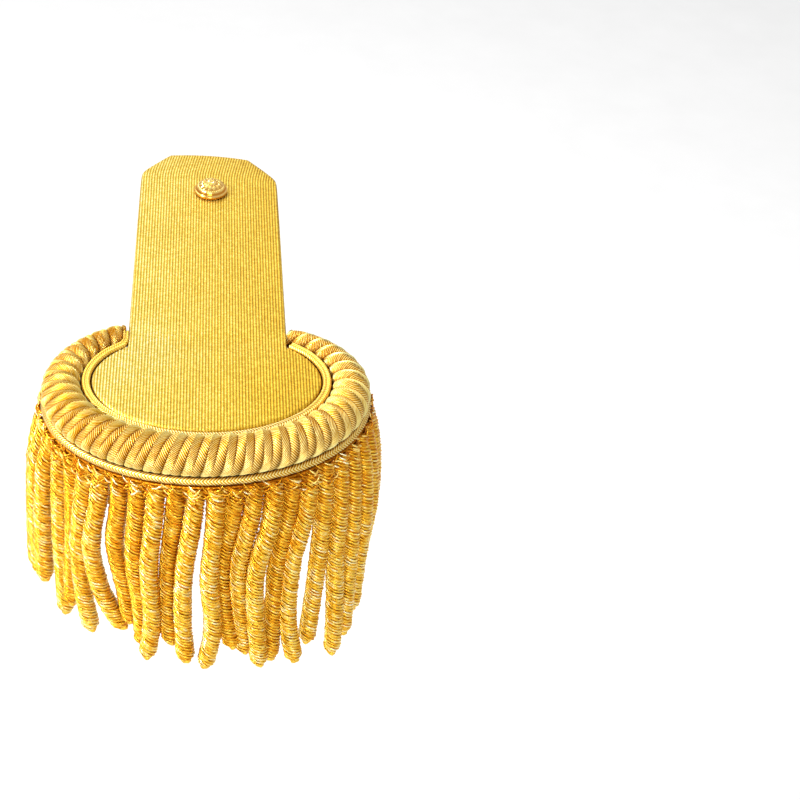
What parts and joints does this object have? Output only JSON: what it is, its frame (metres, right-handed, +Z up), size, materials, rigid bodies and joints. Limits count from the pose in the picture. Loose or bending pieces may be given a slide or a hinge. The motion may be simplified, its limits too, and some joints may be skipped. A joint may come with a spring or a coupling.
{
  "type": "bullion epaulette",
  "caption": "Gold shoulder epaulette: ribbed cloth strap and oval plate with a domed button, a wound crescent roll, braid pipings and a hanging fringe of thick bullion strands.",
  "frame": {"origin": "underside of the board, on its centre line, where the strap meets the oval plate", "axes": "+Y along the strap towards the neck end, +Z up out of the board's top face, +X to the right seen from the fringe end"},
  "size_m": [0.1374, 0.2149, 0.1184],
  "materials": {
    "lame_cloth": "ribbed metallic cloth, soft sheen",
    "wound_cord": "wound metallic cord over padding",
    "braid": "plaited metallic braid",
    "bullion": "coiled metallic thread, bright with dark gaps",
    "gilt": "polished gilt, embossed",
    "brass_plate": "plain satin sheet"
  },
  "bodies": {
    "root": {"strap_board": "lame_cloth", "crescent_roll": "wound_cord", "inner_piping": "braid", "outer_piping": "braid", "fringe": "bullion", "button": "gilt", "fixing_tongue": "brass_plate"}
  },
  "joints": []
}
